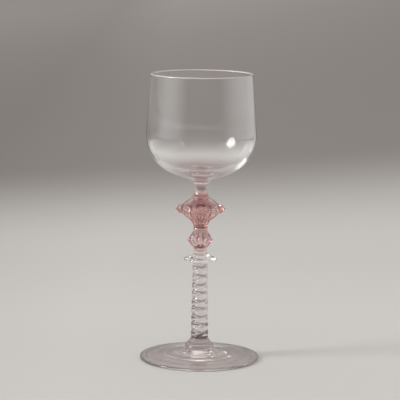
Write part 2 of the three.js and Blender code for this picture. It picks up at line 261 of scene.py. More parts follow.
lit_cloth(
    "round_lamp", place=(-5.36, -1.32, 2.4), aim=(0, 0, 0.11), width=3, height=3,
    strength=LAMP_STRENGTH, core=0, fade_across=ALL_ROUND, lights_table=True,
)
lit_cloth(
    "left_screen", place=(-0.78, -0.3, 0.15), aim=(0, 0, 0.15), width=1.5, height=0.3,
    strength=LEFT_SCREEN_STRENGTH, core=0, fade_across=SIDEWAYS, lights_table=False,
)
lit_cloth(
    "right_screen", place=(0.88, 0.1, 0.15), aim=(0, 0, 0.15), width=2.5, height=0.3,
    strength=RIGHT_SCREEN_STRENGTH, core=0.1, fade_across=SIDEWAYS, lights_table=False,
)
for name, x in (("left_card", -0.5), ("right_card", 0.5)):
    lit_cloth(
        name, place=(x, 0, 0.001), aim=(x, 0.001, 1), width=0.7, height=1.2,
        strength=CARD_STRENGTH, core=0.6, fade_across=ALL_ROUND, lights_table=False,
    )

# Foot: a disc of blown glass spun out from the gather, hollow underneath, so that it stands on a
# narrow ring. The tool has left soft rings in its top, and the pontil a scar in the middle below.
FOOT_RADIUS = 37.5
FOOT_HEIGHT = 6.5
FOOT_EDGE = 1.6
FOOT_REST_INSIDE = 34.1
FOOT_REST_OUTSIDE = 36.7
FOOT_HEEL = 0.8
FOOT_CEILING = 3.6
FOOT_CEILING_HANDLES = ((15, 2.6), (26, 1.2))
PONTIL_RADIUS = 4.0
PONTIL_DEPTH = 0.5
PONTIL_SLOPE = 1.2
PONTIL_MARGIN = 1
TOOL_RING_SPACING = 6.4
TOOL_RING_DEPTH = 0.05
TOOL_RING_FADE = 3
FOOT_RING_SEAT = 8.3
FOOT_SHELF = 1

# All lengths of the goblet's pieces are in millimetres. A point within CLOSE of a line counts as on
# it, and an edge that turns by less than SHARP_BEND looks smooth.
MM = 0.001
CLOSE = 0.01
SHARP_BEND = math.radians(40)

# Where two bits of hot glass are fused there is no surface left between them, so the light goes
# straight through.
fused_joint = bpy.data.materials.new("fused_joint_of_glass")
fused_joint.use_nodes = True
tree = fused_joint.node_tree
tree.nodes.remove(tree.nodes["Principled BSDF"])
clear = add_node(tree, "ShaderNodeBsdfTransparent")
tree.links.new(clear.outputs["BSDF"], tree.nodes["Material Output"].inputs["Surface"])
JOINT_SLOT = 1
EDGE_SLOT = 2

# Soda glass bends light with an index of about 1.5. The wave of the ribs runs from 1 on a ridge to -1
# in a valley. A dark line of painted shade starts in the valley where it falls below VALLEY_FROM.
GLASS_IOR = 1.5
VALLEY_FROM = -0.4


def blown_glass(name, tint, deeper_tint, drift, wave, wave_depth, thick=None, ribs=None, body=None):
    """Glass with a skin as smooth as the fire leaves it. Its tint drifts over drift millimetres, and
    its skin has waves that are wave millimetres wide and wave_depth deep.

    thick, a tint and two heights over the table, is the tint where the wall is thick, and the heights
    between which it grows thin. ribs, a count, a tint and two such heights, paints shade as dark
    lines in the valleys of a ribbed wall. body, a colour and a density per metre, deepens the colour
    with the way through the glass. Only pieces that little light leaves through a fused joint have a
    body: such light would keep its colour from there on, and come out black."""
    material = bpy.data.materials.new(name)
    material.use_nodes = True
    tree = material.node_tree
    shader = tree.nodes["Principled BSDF"]
    shader.inputs["Roughness"].default_value = 0
    shader.inputs["IOR"].default_value = GLASS_IOR
    shader.inputs["Transmission Weight"].default_value = 1
    place = add_node(tree, "ShaderNodeTexCoord")
    parts = add_node(tree, "ShaderNodeSeparateXYZ", links={0: place.outputs["Object"]})
    cloud = add_node(
        tree, "ShaderNodeTexNoise", {"Scale": 1 / (drift * MM), "Detail": 2},
        {"Vector": place.outputs["Object"]},
    )
    colour = add_node(
        tree, "ShaderNodeMix", {6: linear(tint), 7: linear(deeper_tint)},
        {0: cloud.outputs["Fac"]}, data_type="RGBA",
    )
    if thick:
        thick_tint, thick_at, thin_at = thick
        thin = add_node(
            tree, "ShaderNodeMapRange", {"From Min": thick_at * MM, "From Max": thin_at * MM},
            {"Value": parts.outputs["Z"]}, interpolation_type="SMOOTHSTEP",
        )
        colour = add_node(
            tree, "ShaderNodeMix", {6: linear(thick_tint)},
            {0: thin.outputs["Result"], 7: colour.outputs[2]}, data_type="RGBA",
        )
    if ribs:
        count, rib_shade_tint, bottom, top = ribs
        middle, half = (bottom + top) / 2 * MM, (top - bottom) / 2 * MM
        angle = add_node(
            tree, "ShaderNodeMath", links={0: parts.outputs["Y"], 1: parts.outputs["X"]},
            operation="ARCTAN2",
        )
        turn = add_node(
            tree, "ShaderNodeMath", {1: count}, {0: angle.outputs["Value"]}, operation="MULTIPLY",
        )
        ridge = add_node(
            tree, "ShaderNodeMath", links={0: turn.outputs["Value"]}, operation="COSINE",
        )
        valley = add_node(
            tree, "ShaderNodeMapRange", {"From Min": VALLEY_FROM, "From Max": -1},
            {"Value": ridge.outputs["Value"]},
        )
        level = add_node(
            tree, "ShaderNodeMath", {1: middle}, {0: parts.outputs["Z"]}, operation="SUBTRACT",
        )
        off = add_node(
            tree, "ShaderNodeMath", links={0: level.outputs["Value"]}, operation="ABSOLUTE",
        )
        within = add_node(
            tree, "ShaderNodeMapRange", {"From Min": half, "From Max": half / 2},
            {"Value": off.outputs["Value"]},
        )
        line = add_node(
            tree, "ShaderNodeMath",
            links={0: valley.outputs["Result"], 1: within.outputs["Result"]},
            operation="MULTIPLY",
        )
        # Painted shade: the rib tint darkens the colour along the valleys of the ribs.
        colour = add_node(
            tree, "ShaderNodeMix", {7: linear(rib_shade_tint)},
            {0: line.outputs["Value"], 6: colour.outputs[2]}, data_type="RGBA",
        )
    tree.links.new(colour.outputs[2], shader.inputs["Base Color"])
    ripple = add_node(
        tree, "ShaderNodeTexNoise", {"Scale": 1 / (wave * MM), "Detail": 1},
        {"Vector": place.outputs["Object"]},
    )
    bump = add_node(
        tree, "ShaderNodeBump", {"Strength": 1, "Distance": wave_depth * MM},
        {"Height": ripple.outputs["Fac"]},
    )
    tree.links.new(bump.outputs["Normal"], shader.inputs["Normal"])
    if body:
        depth = add_node(
            tree, "ShaderNodeVolumeAbsorption", {"Color": linear(body[0]), "Density": body[1]},
        )
        output = tree.nodes["Material Output"]
        tree.links.new(depth.outputs["Volume"], output.inputs["Volume"])
    return material


def curve(start, leave, arrive, end, count):
    """Points (radius, height), count of them, along one stretch of an outline. leave and arrive are
    the handles that pull it as it leaves start and arrives at end."""
    points = interpolate_bezier(Vector(start), Vector(leave), Vector(arrive), Vector(end), count)
    return [(p[0], p[1]) for p in points]


def bend(start, corner, end, count):
    """A stretch that bends once, towards a corner."""
    leave = [s + (c - s) * 2 / 3 for s, c in zip(start, corner)]
    arrive = [e + (c - e) * 2 / 3 for e, c in zip(end, corner)]
    return curve(start, leave, arrive, end, count)


def turned(outline, base, steps=128):
    """Spins an outline of (radius, height) round the goblet's axis, over base, a height in metres."""
    bm = bmesh.new()
    corners = [bm.verts.new((radius * MM, 0, base + height * MM)) for radius, height in outline]
    edges = [bm.edges.new(pair) for pair in zip(corners, corners[1:])]
    bmesh.ops.spin(
        bm, geom=corners + edges, cent=(0, 0, 0), axis=(0, 0, 1), angle=2 * math.pi, steps=steps,
        use_merge=True,
    )
    bmesh.ops.remove_doubles(bm, verts=bm.verts, dist=CLOSE / 10 * MM)
    bmesh.ops.recalc_face_normals(bm, faces=bm.faces)
    return bm


def glass_piece(bm, name, material, fused=()):
    """Makes the mesh a piece that stands for its node. fused lists the flat rings (height, inner
    radius, outer radius) where it runs into the next piece with no surface between."""
    for face in bm.faces:
        face.smooth = True
        radius = face.calc_center_median().xy.length
        for height, inner, outer in fused:
            flat = all(abs(vert.co.z - height) < CLOSE * MM for vert in face.verts)
            if flat and inner * MM < radius < outer * MM:
                face.material_index = JOINT_SLOT
    for edge in bm.edges:
        edge.smooth = edge.calc_face_angle(0) < SHARP_BEND
    mesh = bpy.data.meshes.new(name)
    bm.to_mesh(mesh)
    bm.free()
    mesh.materials.append(material)
    mesh.materials.append(fused_joint)
    piece = bpy.data.objects.new(name, mesh)
    bpy.context.scene.collection.objects.link(piece)
    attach(piece, "root")
    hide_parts(name.removesuffix("_glass"))
    return piece


# Soda glass spun out thin: nearly colourless, with a warm grey where the middle is thick, and wide
# soft waves that the spinning has left.
foot_glass = blown_glass(
    "spun_soda_glass", "#fff7f6", "#fbf2f1", drift=30, wave=9, wave_depth=0.02,
    thick=("#dccfce", FOOT_HEIGHT, 2.5),
)
# The foot's edge, melted round in the fire. Its grey line is painted shade: the edge is coloured grey,
# for the dark that shows where light runs a long way along the disc before it comes out.
shaded_foot_edge_glass = blown_glass(
    "foot_edge_with_painted_shade", "#b5adab", "#aaa2a0", drift=30, wave=9, wave_depth=0.02,
)

scar = FOOT_CEILING - PONTIL_DEPTH
heel = (FOOT_REST_INSIDE - FOOT_HEEL, FOOT_EDGE / 4)
outline = [(0, scar)]
outline += bend((PONTIL_RADIUS - PONTIL_SLOPE, scar), (PONTIL_RADIUS, scar),
                (PONTIL_RADIUS, FOOT_CEILING), 6)
outline += curve((PONTIL_RADIUS + PONTIL_MARGIN, FOOT_CEILING), *FOOT_CEILING_HANDLES, heel, 24)
outline += bend(heel, (FOOT_REST_INSIDE - FOOT_HEEL / 2, 0), (FOOT_REST_INSIDE, 0), 4)[1:]
outline += bend((FOOT_REST_OUTSIDE, 0), (FOOT_RADIUS, 0), (FOOT_RADIUS, FOOT_EDGE / 2), 6)
outline += bend((FOOT_RADIUS, FOOT_EDGE / 2), (FOOT_RADIUS, FOOT_EDGE),
                (FOOT_REST_OUTSIDE, FOOT_EDGE), 6)[1:]
shelf = FOOT_RING_SEAT + FOOT_SHELF
top = bend((FOOT_REST_OUTSIDE, FOOT_EDGE), (FOOT_RADIUS / 2, FOOT_HEIGHT / 2), (shelf, FOOT_HEIGHT), 96)
for radius, height in top[1:]:
    fade = min(1, (FOOT_REST_OUTSIDE - radius) / TOOL_RING_FADE, (radius - shelf) / TOOL_RING_FADE)
    ring = math.sin(2 * math.pi * radius / TOOL_RING_SPACING)
    outline.append((radius, height + TOOL_RING_DEPTH * fade * ring))
outline += [(FOOT_RING_SEAT, FOOT_HEIGHT), (0, FOOT_HEIGHT)]
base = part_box("foot")[0].z
bm = turned(outline, base, steps=160)
# The edge beyond the resting ring takes the grey of the painted shade.
for face in bm.faces:
    if face.calc_center_median().xy.length > FOOT_REST_OUTSIDE * MM:
        face.material_index = EDGE_SLOT
foot = glass_piece(bm, "foot_glass", foot_glass,
                   [(base + FOOT_HEIGHT * MM, 0, FOOT_RING_SEAT)])
foot.data.materials.append(shaded_foot_edge_glass)

# Foot ring: a wafer of soda glass, pressed hot between foot and stem, so that it is fused to both. The
# fire has left its edge round.
FOOT_RING_RADIUS = 9.3
FOOT_RING_HEIGHT = 3.1
EDGE_STEPS = 16

# Soda glass gathered from the pot and squeezed while hot: uneven and wavy, so that it shows grey and
# white shreds of the set.
gathered_clear = blown_glass(
    "gathered_soda_glass", "#ded0cf", "#d4c6c5", drift=8, wave=4, wave_depth=0.05,
)


def wafer(bottom, edge, top, height):
    """Outline of a wafer with flat seats and a rounded edge."""
    outline = [(0, 0)]
    for i in range(EDGE_STEPS + 1):
        turn = (i / EDGE_STEPS - 0.5) * math.pi
        rise = (math.sin(turn) + 1) / 2
        seat = bottom + (top - bottom) * rise
        outline.append((seat + (edge - seat) * math.cos(turn), rise * height))
    return outline + [(0, height)]


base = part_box("foot_ring")[0].z
outline = wafer(FOOT_RING_SEAT, FOOT_RING_RADIUS, FOOT_RING_SEAT, FOOT_RING_HEIGHT)
glass_piece(turned(outline, base), "foot_ring_glass", gathered_clear,
            [(base, 0, FOOT_RING_SEAT), (base + FOOT_RING_HEIGHT * MM, 0, FOOT_RING_SEAT)])

# Stem cone: the flared lower end of the column, of the same gathered glass. It was drawn down over the
# wafer while soft, and is fused to it.
STEM_CONE_HEIGHT = 3.6
STEM_CONE_FLARE = 0.9
STEM_BOTTOM_RADIUS = 5.5

outline = [(0, 0)]
outline += bend((FOOT_RING_SEAT, 0), (STEM_BOTTOM_RADIUS + STEM_CONE_FLARE, STEM_CONE_HEIGHT / 2),
                (STEM_BOTTOM_RADIUS, STEM_CONE_HEIGHT), 16)
outline.append((0, STEM_CONE_HEIGHT))
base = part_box("stem_cone")[0].z
glass_piece(turned(outline, base), "stem_cone_glass", gathered_clear,
            [(base, 0, FOOT_RING_SEAT), (base + STEM_CONE_HEIGHT * MM, 0, STEM_BOTTOM_RADIUS)])

# Twisted stem: a solid gather creased down both sides, then drawn out and twisted while hot, so that
# two narrow grooves climb round it as a right-hand screw. They don't face each other exactly, so near
# and far turns of the grooves cross as uneven Vs. The top of the column is drawn out more.
STEM_HEIGHT = 47.3
STEM_TOP_RADIUS = 4.7
GROOVE_ANGLES = (0, math.radians(162))
GROOVE_HALF_WIDTH = math.radians(27)
GROOVE_DEPTH = 0.6
GROOVE_SPACING = 4.97
GROOVE_SPACING_TOP = 6.4
GROOVE_SPACING_POWER = 4
GROOVE_FADE = 2.2
STEM_RINGS = 320

# Soda glass drawn out to a column: smooth and bright, with grey only where the light goes lengthwise
# through much of it.
drawn_clear = blown_glass(
    "drawn_soda_glass", "#fffafa", "#fbf6f6", drift=30, wave=9, wave_depth=0.02,
    body=("#c8c0c0", 20),
)

turns = [0]
outline = [(0, 0)]
for i in range(STEM_RINGS + 1):
    share = i / STEM_RINGS
    radius = STEM_BOTTOM_RADIUS + (STEM_TOP_RADIUS - STEM_BOTTOM_RADIUS) * share
    outline.append((radius, STEM_HEIGHT * share))
    stretch = (GROOVE_SPACING_TOP - GROOVE_SPACING) * share ** GROOVE_SPACING_POWER
    lead = (GROOVE_SPACING + stretch) * len(GROOVE_ANGLES)
    turns.append(turns[-1] + 2 * math.pi * STEM_HEIGHT / (STEM_RINGS * lead))
outline.append((0, STEM_HEIGHT))
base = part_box("twisted_stem")[0].z
bm = turned(outline, base, steps=96)
for vert in bm.verts:
    z = (vert.co.z - base) / MM
    radius = vert.co.xy.length / MM
    if radius < STEM_TOP_RADIUS / 2:
        continue
    angle = math.atan2(vert.co.y, vert.co.x)
    fade = max(0, min(1, z / GROOVE_FADE, (STEM_HEIGHT - z) / GROOVE_FADE))
    for groove in GROOVE_ANGLES:
        away = math.remainder(angle - groove, 2 * math.pi) / GROOVE_HALF_WIDTH
        radius -= GROOVE_DEPTH * fade * math.exp(-away * away)
    angle += turns[round(z / STEM_HEIGHT * STEM_RINGS)]
    vert.co.x = radius * math.cos(angle) * MM
    vert.co.y = radius * math.sin(angle) * MM
glass_piece(bm, "twisted_stem_glass", drawn_clear,
            [(base, 0, STEM_BOTTOM_RADIUS), (base + STEM_HEIGHT * MM, 0, STEM_TOP_RADIUS)])

# Stem merese: a wide flat disc of soda glass. It was tooled out of a blob on top of the column while
# that turned, and the fire has left its edge round.
MERESE_RADIUS = 10.4
MERESE_EDGE = 2.0
MERESE_EDGE_HEIGHT = 2.8
MERESE_HEIGHT = 6.1
MERESE_TOP_RADIUS = 4.5
MERESE_CROWN = 0.6

# The same glass in a thick disc: nearly colourless, clear and bright.
thick_clear = blown_glass(
    "thick_blown_soda_glass", "#fdf8f8", "#f9f3f3", drift=30, wave=9, wave_depth=0.02,
)

half = MERESE_EDGE / 2
low = MERESE_EDGE_HEIGHT - half
outline = [(0, 0)]
outline += bend((STEM_TOP_RADIUS, 0), (STEM_TOP_RADIUS + half, low / 2),
                (MERESE_RADIUS - half, low), 16)
for i in range(1, EDGE_STEPS):
    turn = (i / EDGE_STEPS - 0.5) * math.pi
    outline.append((MERESE_RADIUS - half + half * math.cos(turn),
                    MERESE_EDGE_HEIGHT + half * math.sin(turn)))
outline += bend((MERESE_RADIUS - half, low + MERESE_EDGE),
                ((MERESE_RADIUS + MERESE_TOP_RADIUS) / 2, low + MERESE_EDGE + MERESE_CROWN),
                (MERESE_TOP_RADIUS, MERESE_HEIGHT), 16)
outline.append((0, MERESE_HEIGHT))
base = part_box("stem_merese")[0].z
glass_piece(turned(outline, base), "stem_merese_glass", thick_clear,
            [(base, 0, STEM_TOP_RADIUS), (base + MERESE_HEIGHT * MM, 0, MERESE_TOP_RADIUS)])

# Merese ring: a small ring with a short neck, pinched into the clear glass above the disc. It joins
# the disc to the rose knop, whose colour has run into it a little.
MERESE_RING_RADIUS = 4.75
MERESE_RING_HEIGHT = 1.9
MERESE_NECK_RADIUS = 3.95
MERESE_NECK_HEIGHT = 1.5

# Clear glass next to a rose knop: it carries a flush of that glass, and the squeezing has left close
# waves that break up what shows through it.
flushed_clear = blown_glass(
    "soda_glass_flushed_with_rose", "#e6d2d1", "#dac4c3", drift=5, wave=3, wave_depth=0.06,
)

outline = wafer(MERESE_TOP_RADIUS, MERESE_RING_RADIUS, MERESE_NECK_RADIUS, MERESE_RING_HEIGHT)
top = MERESE_RING_HEIGHT + MERESE_NECK_HEIGHT
outline[-1:] = [(MERESE_NECK_RADIUS, top), (0, top)]
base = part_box("merese_ring")[0].z
glass_piece(turned(outline, base, steps=96), "merese_ring_glass", flushed_clear,
            [(base, 0, MERESE_TOP_RADIUS), (base + top * MM, 0, MERESE_NECK_RADIUS)])

# Lower knop: a small bubble of rose glass, blown in a ribbed mould and pinched out into points all
# round its widest place with pincers. The handles pull its outline at the bottom, below and above
# its widest place, and at the top.
LOWER_KNOP_RADIUS = 7.3
LOWER_KNOP_EQUATOR = 5.5
LOWER_KNOP_HEIGHT = 11
LOWER_KNOP_TOP_RADIUS = 4.6
LOWER_KNOP_BOTTOM_HANDLE = (0.6, 1.2)
LOWER_KNOP_BELOW = 2.1
LOWER_KNOP_ABOVE = 2
LOWER_KNOP_TOP_HANDLE = (0.5, 1)
LOWER_KNOP_WALL = 1.3
LOWER_KNOP_LIP = 0.3
LOWER_KNOP_RIBS = 12
LOWER_KNOP_RIB_DEPTH = 0.55
LOWER_KNOP_RIB_SHADE_LINES = (74, 81.5)
LOWER_KNOP_POINTS = 6
LOWER_KNOP_POINT_LENGTH = 1.0
LOWER_KNOP_POINT_THICKNESS = 1.8

# Rose glass in a thin bubble: light pink, deeper where the light runs along the wall, with painted
# shade as dark lines in the valleys between the ribs.
pale_rose_glass = blown_glass(
    "blown_pale_rose_glass", "#fff4f4", "#f9eaea", drift=5, wave=2.4, wave_depth=0.12,
    ribs=(LOWER_KNOP_RIBS, "#cda1a0", *LOWER_KNOP_RIB_SHADE_LINES), body=("#eea6a6", 54),
)
# Rose glass in a solid wafer or collar: an even, full pink.
solid_rose_glass = blown_glass(
    "solid_rose_glass", "#efc0bc", "#e6b2ae", drift=4, wave=3, wave_depth=0.03,
)


def moved_out(points, start, end, thinning=1):
    """The points of an outline moved out along its normals, by start at one end and end at the other.
    The higher the thinning, the sooner it comes near end."""
    moved = []
    for i, point in enumerate(points):
        before = Vector(points[max(i - 1, 0)])
        after = Vector(points[min(i + 1, len(points) - 1)])
        along = (after - before).normalized()
        out = end + (start - end) * (1 - i / (len(points) - 1)) ** thinning
        moved.append((point[0] + along.y * out, point[1] - along.x * out))
    return moved


def lies_on(line, radius, height):
    """True where a point of a turned mesh lies on a line of its outline, and not inside the wall."""
    return min(abs(radius - r) + abs(height - h) for r, h in line) <= CLOSE


flare, lift = LOWER_KNOP_BOTTOM_HANDLE
side = curve((MERESE_NECK_RADIUS, 0), (MERESE_NECK_RADIUS + flare, lift),
             (LOWER_KNOP_RADIUS, LOWER_KNOP_EQUATOR - LOWER_KNOP_BELOW),
             (LOWER_KNOP_RADIUS, LOWER_KNOP_EQUATOR), 28)
flare, drop = LOWER_KNOP_TOP_HANDLE
side += curve((LOWER_KNOP_RADIUS, LOWER_KNOP_EQUATOR),
              (LOWER_KNOP_RADIUS, LOWER_KNOP_EQUATOR + LOWER_KNOP_ABOVE),
              (LOWER_KNOP_TOP_RADIUS + flare, LOWER_KNOP_HEIGHT - drop),
              (LOWER_KNOP_TOP_RADIUS, LOWER_KNOP_HEIGHT), 28)[1:]
bore = LOWER_KNOP_TOP_RADIUS - LOWER_KNOP_WALL
inside = [p for p in moved_out(side, -LOWER_KNOP_WALL, -LOWER_KNOP_WALL)
          if LOWER_KNOP_WALL < p[1] < LOWER_KNOP_HEIGHT - LOWER_KNOP_LIP]
outline = [(0, 0)] + side + [(bore, LOWER_KNOP_HEIGHT)] + inside[::-1] + [(0, LOWER_KNOP_WALL)]
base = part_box("lower_knop")[0].z
bm = turned(outline, base, steps=144)
for vert in bm.verts:
    z = (vert.co.z - base) / MM
    radius = vert.co.xy.length / MM
    if not lies_on(side, radius, z):
        continue
    angle = math.atan2(vert.co.y, vert.co.x)
    away = (z - LOWER_KNOP_EQUATOR) / (LOWER_KNOP_POINT_THICKNESS / 2)
    pinch = max(0, math.cos(LOWER_KNOP_POINTS * angle)) ** 2 * math.exp(-away * away)
    rib = abs(math.cos(LOWER_KNOP_RIBS * angle / 2)) - 1
    fade = math.sin(math.pi * z / LOWER_KNOP_HEIGHT)
    out = LOWER_KNOP_POINT_LENGTH * pinch + LOWER_KNOP_RIB_DEPTH * rib * fade
    vert.co.xy *= 1 + out / radius
glass_piece(bm, "lower_knop_glass", pale_rose_glass,
            [(base, 0, MERESE_NECK_RADIUS),
             (base + LOWER_KNOP_HEIGHT * MM, bore, LOWER_KNOP_TOP_RADIUS)])

# Waist ring: a solid wafer of the same rose glass, which was set between the two knops while they were
# hot. It closes the hollow of the lower one.
WAIST_RING_RADIUS = 4.7
WAIST_RING_HEIGHT = 2.4
UPPER_KNOP_BOTTOM_RADIUS = 4.25

outline = wafer(LOWER_KNOP_TOP_RADIUS, WAIST_RING_RADIUS, UPPER_KNOP_BOTTOM_RADIUS, WAIST_RING_HEIGHT)
outline.insert(1, (bore, 0))
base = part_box("waist_ring")[0].z
glass_piece(turned(outline, base, steps=96), "waist_ring_glass", solid_rose_glass,
            [(base, bore, LOWER_KNOP_TOP_RADIUS),
             (base + WAIST_RING_HEIGHT * MM, 0, UPPER_KNOP_BOTTOM_RADIUS)])

# Upper knop: a large bubble of rose glass. The ribs of the mould stay sharp in its funnel and melt
# away in the girdle and the domed shoulder. The prunts are fused to it all round the girdle, where
# the seat of each, less a margin, is an open joint.
UPPER_KNOP_RADIUS = 12.4
UPPER_KNOP_GIRDLE = 11.8
UPPER_KNOP_HEIGHT = 19
UPPER_KNOP_NECK_RADIUS = 5.3
UPPER_KNOP_FLARE = 0.6
UPPER_KNOP_FUNNEL_SHARE = 0.55
UPPER_KNOP_ABOVE = 2.8
UPPER_KNOP_TOP_HANDLE = (3, 1.4)
UPPER_KNOP_WALL = 1.4
UPPER_KNOP_FLOOR = 1.6
UPPER_KNOP_PIT = 0.5
UPPER_KNOP_RIBS = 16
UPPER_KNOP_RIB_DEPTH = 0.85
UPPER_KNOP_RIB_ROUNDING = 0.03
UPPER_KNOP_RIB_SHADE_LINES = (82, 99)
PRUNT_COUNT = 8
PRUNT_RADIUS = 3.1
PRUNT_SEAT_DEPTH = 0.9
PRUNT_SEAT_MARGIN = 0.2

# The same rose glass in a thicker bubble: a deeper pink, which the ribs and the waves of the mould
# break into light and dark stripes. The dark lines in the valleys of the ribs are painted shade.
rose_glass = blown_glass(
    "blown_rose_glass", "#fff0ef", "#f6e0df", drift=4, wave=2.2, wave_depth=0.16,
    ribs=(UPPER_KNOP_RIBS, "#cb9893", *UPPER_KNOP_RIB_SHADE_LINES), body=("#f0938f", 70),
)

pull = UPPER_KNOP_GIRDLE * UPPER_KNOP_FUNNEL_SHARE
side = curve((UPPER_KNOP_BOTTOM_RADIUS, 0), (UPPER_KNOP_BOTTOM_RADIUS + UPPER_KNOP_FLARE, pull),
             (UPPER_KNOP_RADIUS, pull), (UPPER_KNOP_RADIUS, UPPER_KNOP_GIRDLE), 40)
flare, drop = UPPER_KNOP_TOP_HANDLE
side += curve((UPPER_KNOP_RADIUS, UPPER_KNOP_GIRDLE),
              (UPPER_KNOP_RADIUS, UPPER_KNOP_GIRDLE + UPPER_KNOP_ABOVE),
              (UPPER_KNOP_NECK_RADIUS + flare, UPPER_KNOP_HEIGHT - drop),
              (UPPER_KNOP_NECK_RADIUS, UPPER_KNOP_HEIGHT), 32)[1:]
knop_side = side
bore = UPPER_KNOP_NECK_RADIUS - UPPER_KNOP_WALL
ceiling = UPPER_KNOP_HEIGHT - UPPER_KNOP_WALL / 2
inside = [p for p in moved_out(side, -UPPER_KNOP_WALL, -UPPER_KNOP_WALL)
          if UPPER_KNOP_FLOOR < p[1] < ceiling and p[0] > UPPER_KNOP_PIT]
outline = [(0, 0)] + side + [(bore, UPPER_KNOP_HEIGHT)] + inside[::-1] + [(0, UPPER_KNOP_FLOOR)]
knop_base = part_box("upper_knop")[0].z
bm = turned(outline, knop_base, steps=192)
for vert in bm.verts:
    z = (vert.co.z - knop_base) / MM
    radius = vert.co.xy.length / MM
    if z > UPPER_KNOP_GIRDLE or not lies_on(side, radius, z):
        continue
    angle = math.atan2(vert.co.y, vert.co.x)
    swell = math.sin(math.pi * z / UPPER_KNOP_GIRDLE)
    ridge = math.cos(UPPER_KNOP_RIBS * angle / 2) ** 2
    rib = 1 - math.sqrt(ridge * (1 - UPPER_KNOP_RIB_ROUNDING) + UPPER_KNOP_RIB_ROUNDING)
    vert.co.xy *= 1 - UPPER_KNOP_RIB_DEPTH * swell * rib / radius
for face in bm.faces:
    middle = face.calc_center_median()
    if middle.xy.length < (UPPER_KNOP_RADIUS - PRUNT_SEAT_DEPTH) * MM:
        continue
    step = 2 * math.pi / PRUNT_COUNT
    angle = math.atan2(middle.y, middle.x)
    nearest = round(angle / step) * step
    across = math.sin(angle - nearest) * middle.xy.length
    up = middle.z - knop_base - UPPER_KNOP_GIRDLE * MM
    if math.hypot(across, up) < (PRUNT_RADIUS - PRUNT_SEAT_MARGIN) * MM:
        face.material_index = JOINT_SLOT
glass_piece(bm, "upper_knop_glass", rose_glass,
            [(knop_base, 0, UPPER_KNOP_BOTTOM_RADIUS),
             (knop_base + UPPER_KNOP_HEIGHT * MM, bore, UPPER_KNOP_NECK_RADIUS)])

# Shoulder prunts: drops of glass set on the girdle and stamped with a raspberry die, which leaves a
# bead on the tip and a round of beads about it. Each is made standing on the table, then bent to the
# girdle and carried to its place.
PRUNT_LENGTH = 3.2
PRUNT_FLOOR_RINGS = 8
PRUNT_SIDE_FROM = 0.2
PRUNT_SIDE_HANDLE = 1
PRUNT_TIP_SHARE = 0.3
PRUNT_TIP_BEAD = 0.3
PRUNT_BEADS = 8
PRUNT_BEAD_RADIUS = 0.85
PRUNT_BEAD_HEIGHT = 0.5
PRUNT_BEAD_ROUND_RADIUS = 2.1
PRUNT_BEAD_ROUND_HEIGHT = 1.5
PRUNT_BEADS_FROM = 0.3
PRUNT_DENT = 0.12
PRUNT_SPLAY = 0.7
PRUNT_FUSED_WITHIN = 0.02

# Pale rose glass chilled by the die: smooth beads, so small that each shows one bright point.
prunt_glass = blown_glass(
    "stamped_prunt_glass", "#f2d2cf", "#e6bfbb", drift=2, wave=3, wave_depth=0.01,
)


def knop_radius_at(height):
    """Radius of the knop's outside at a height over its seat, both in millimetres."""
    for (r0, h0), (r1, h1) in zip(knop_side, knop_side[1:]):
        if h0 <= height <= h1:
            return r0 + (r1 - r0) * (height - h0) / (h1 - h0)
    return UPPER_KNOP_RADIUS


tip = PRUNT_LENGTH - PRUNT_TIP_BEAD
beads = [Vector((0, 0, tip))]
for i in range(PRUNT_BEADS):
    turn = 2 * math.pi * i / PRUNT_BEADS
    beads.append(Vector((PRUNT_BEAD_ROUND_RADIUS * math.cos(turn),
                         PRUNT_BEAD_ROUND_RADIUS * math.sin(turn), PRUNT_BEAD_ROUND_HEIGHT)))
for number in range(PRUNT_COUNT):
    outline = [(PRUNT_RADIUS * i / PRUNT_FLOOR_RINGS, 0) for i in range(PRUNT_FLOOR_RINGS + 1)]
    outline += curve((PRUNT_RADIUS, PRUNT_SIDE_FROM), (PRUNT_RADIUS, PRUNT_SIDE_HANDLE),
                     (PRUNT_RADIUS * PRUNT_TIP_SHARE, tip), (0, tip), 28)
    bm = turned(outline, 0, steps=60)
    for vert in bm.verts:
        if vert.co.z < PRUNT_BEADS_FROM * MM:
            continue
        here = vert.co / MM
        nearest = min((here - bead).length for bead in beads)
        swell = math.sqrt(max(0, 1 - (nearest / PRUNT_BEAD_RADIUS) ** 2))
        outward = Vector((here.x, here.y, here.z * PRUNT_SPLAY)).normalized()
        vert.co += outward * (PRUNT_BEAD_HEIGHT * swell - PRUNT_DENT) * MM
    for vert in bm.verts:
        across, up, out = vert.co.x / MM, vert.co.y / MM, vert.co.z / MM
        seat = math.sqrt(max(0, knop_radius_at(UPPER_KNOP_GIRDLE + up) ** 2 - across ** 2))
        share = min(1, out / PRUNT_LENGTH)
        seat = seat * (1 - share) + UPPER_KNOP_RADIUS * share
        vert.co = ((seat + out) * MM, across * MM, up * MM + knop_base + UPPER_KNOP_GIRDLE * MM)
    for face in bm.faces:
        gaps = [abs(vert.co.xy.length - knop_radius_at((vert.co.z - knop_base) / MM) * MM)
                for vert in face.verts]
        if max(gaps) <= PRUNT_FUSED_WITHIN * MM:
            face.material_index = JOINT_SLOT
    bmesh.ops.rotate(bm, verts=bm.verts, cent=(0, 0, 0),
                     matrix=Matrix.Rotation(2 * math.pi * number / PRUNT_COUNT, 3, "Z"))
    bmesh.ops.recalc_face_normals(bm, faces=bm.faces)
    glass_piece(bm, f"shoulder_prunt_{number + 1}_glass", prunt_glass)

# Neck ring: a solid collar of rose glass laid over the neck of the upper knop. It closes the hollow,
# and the clear glass above is fused to it.
NECK_RING_HEIGHT = 3.2
NECK_RING_TOP_RADIUS = 3.9
NECK_RING_LIP = 1
NECK_RING_BULGE = 0.3
NECK_RING_CREASE = 0.2

